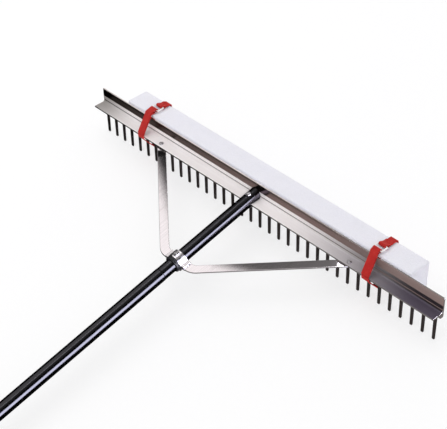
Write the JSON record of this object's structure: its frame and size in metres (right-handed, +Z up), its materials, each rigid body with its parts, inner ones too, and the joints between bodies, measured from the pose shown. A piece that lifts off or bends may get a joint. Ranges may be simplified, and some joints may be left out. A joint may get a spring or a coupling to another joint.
{
  "type": "floating lake rake",
  "caption": "Straight aluminium rake head with upright flange and bar teeth, braced black tube handle, and a foam float held behind it by two red hook-and-loop straps.",
  "frame": {"origin": "middle of the footprint, on the ground that the tooth tips and the handle's end cap rest on", "axes": "+X along the head, +Y from the handle's end cap towards the head and float, +Z up"},
  "size_m": [0.9144, 1.7372, 0.1109],
  "materials": {
    "rail_metal": "satin",
    "tooth_metal": "satin",
    "brace_metal": "satin",
    "fastener_steel": "satin",
    "handle_paint": "gloss",
    "black_rubber": "matte",
    "float_foam": "matte",
    "red_webbing": "matte",
    "white_plastic": "satin"
  },
  "bodies": {
    "rake": {"head_rail": "rail_metal", "tooth_01": "tooth_metal", "tooth_02": "tooth_metal", "tooth_03": "tooth_metal", "tooth_04": "tooth_metal", "tooth_05": "tooth_metal", "tooth_06": "tooth_metal", "tooth_07": "tooth_metal", "tooth_08": "tooth_metal", "tooth_09": "tooth_metal", "tooth_10": "tooth_metal", "tooth_11": "tooth_metal", "tooth_12": "tooth_metal", "tooth_13": "tooth_metal", "tooth_14": "tooth_metal", "tooth_15": "tooth_metal", "tooth_16": "tooth_metal", "tooth_17": "tooth_metal", "tooth_18": "tooth_metal", "tooth_19": "tooth_metal", "tooth_20": "tooth_metal", "tooth_21": "tooth_metal", "tooth_22": "tooth_metal", "tooth_23": "tooth_metal", "tooth_24": "tooth_metal", "tooth_25": "tooth_metal", "tooth_26": "tooth_metal", "tooth_27": "tooth_metal", "tooth_28": "tooth_metal", "tooth_29": "tooth_metal", "tooth_30": "tooth_metal", "tooth_31": "tooth_metal", "tooth_32": "tooth_metal", "tooth_33": "tooth_metal", "tooth_34": "tooth_metal", "tooth_35": "tooth_metal", "tooth_36": "tooth_metal", "brace_left": "brace_metal", "brace_right": "brace_metal", "brace_rivet_left": "fastener_steel", "brace_rivet_right": "fastener_steel", "clamp_saddle": "brace_metal", "clamp_base": "brace_metal", "clamp_sleeve": "black_rubber", "clamp_screw_left": "fastener_steel", "clamp_screw_right": "fastener_steel", "clamp_bolt": "fastener_steel", "handle_lower": "handle_paint", "handle_upper": "handle_paint", "handle_ferrule": "brace_metal", "handle_cap": "black_rubber", "handle_bolt": "fastener_steel", "handle_nut": "fastener_steel", "strap_left": "red_webbing", "strap_right": "red_webbing", "strap_ring_left": "white_plastic", "strap_ring_right": "white_plastic"},
    "float": {"float_block": "float_foam"},
    "tail_left": {"strap_tail_left": "red_webbing"},
    "tail_right": {"strap_tail_right": "red_webbing"}
  },
  "joints": [
    {"name": "float_slide", "type": "slide", "parent": "rake", "child": "float", "axis": [1, 0, 0], "range_m": [-0.7, 0.7]},
    {"name": "tail_left_peel", "type": "hinge", "parent": "rake", "child": "tail_left", "pos_m": [-0.3122, 0.83043, 0.10596], "axis": [-1, 0, 0], "range_deg": [0, 150]},
    {"name": "tail_right_peel", "type": "hinge", "parent": "rake", "child": "tail_right", "pos_m": [0.2974, 0.82256, 0.10742], "axis": [-1, 0, 0], "range_deg": [0, 150]}
  ]
}
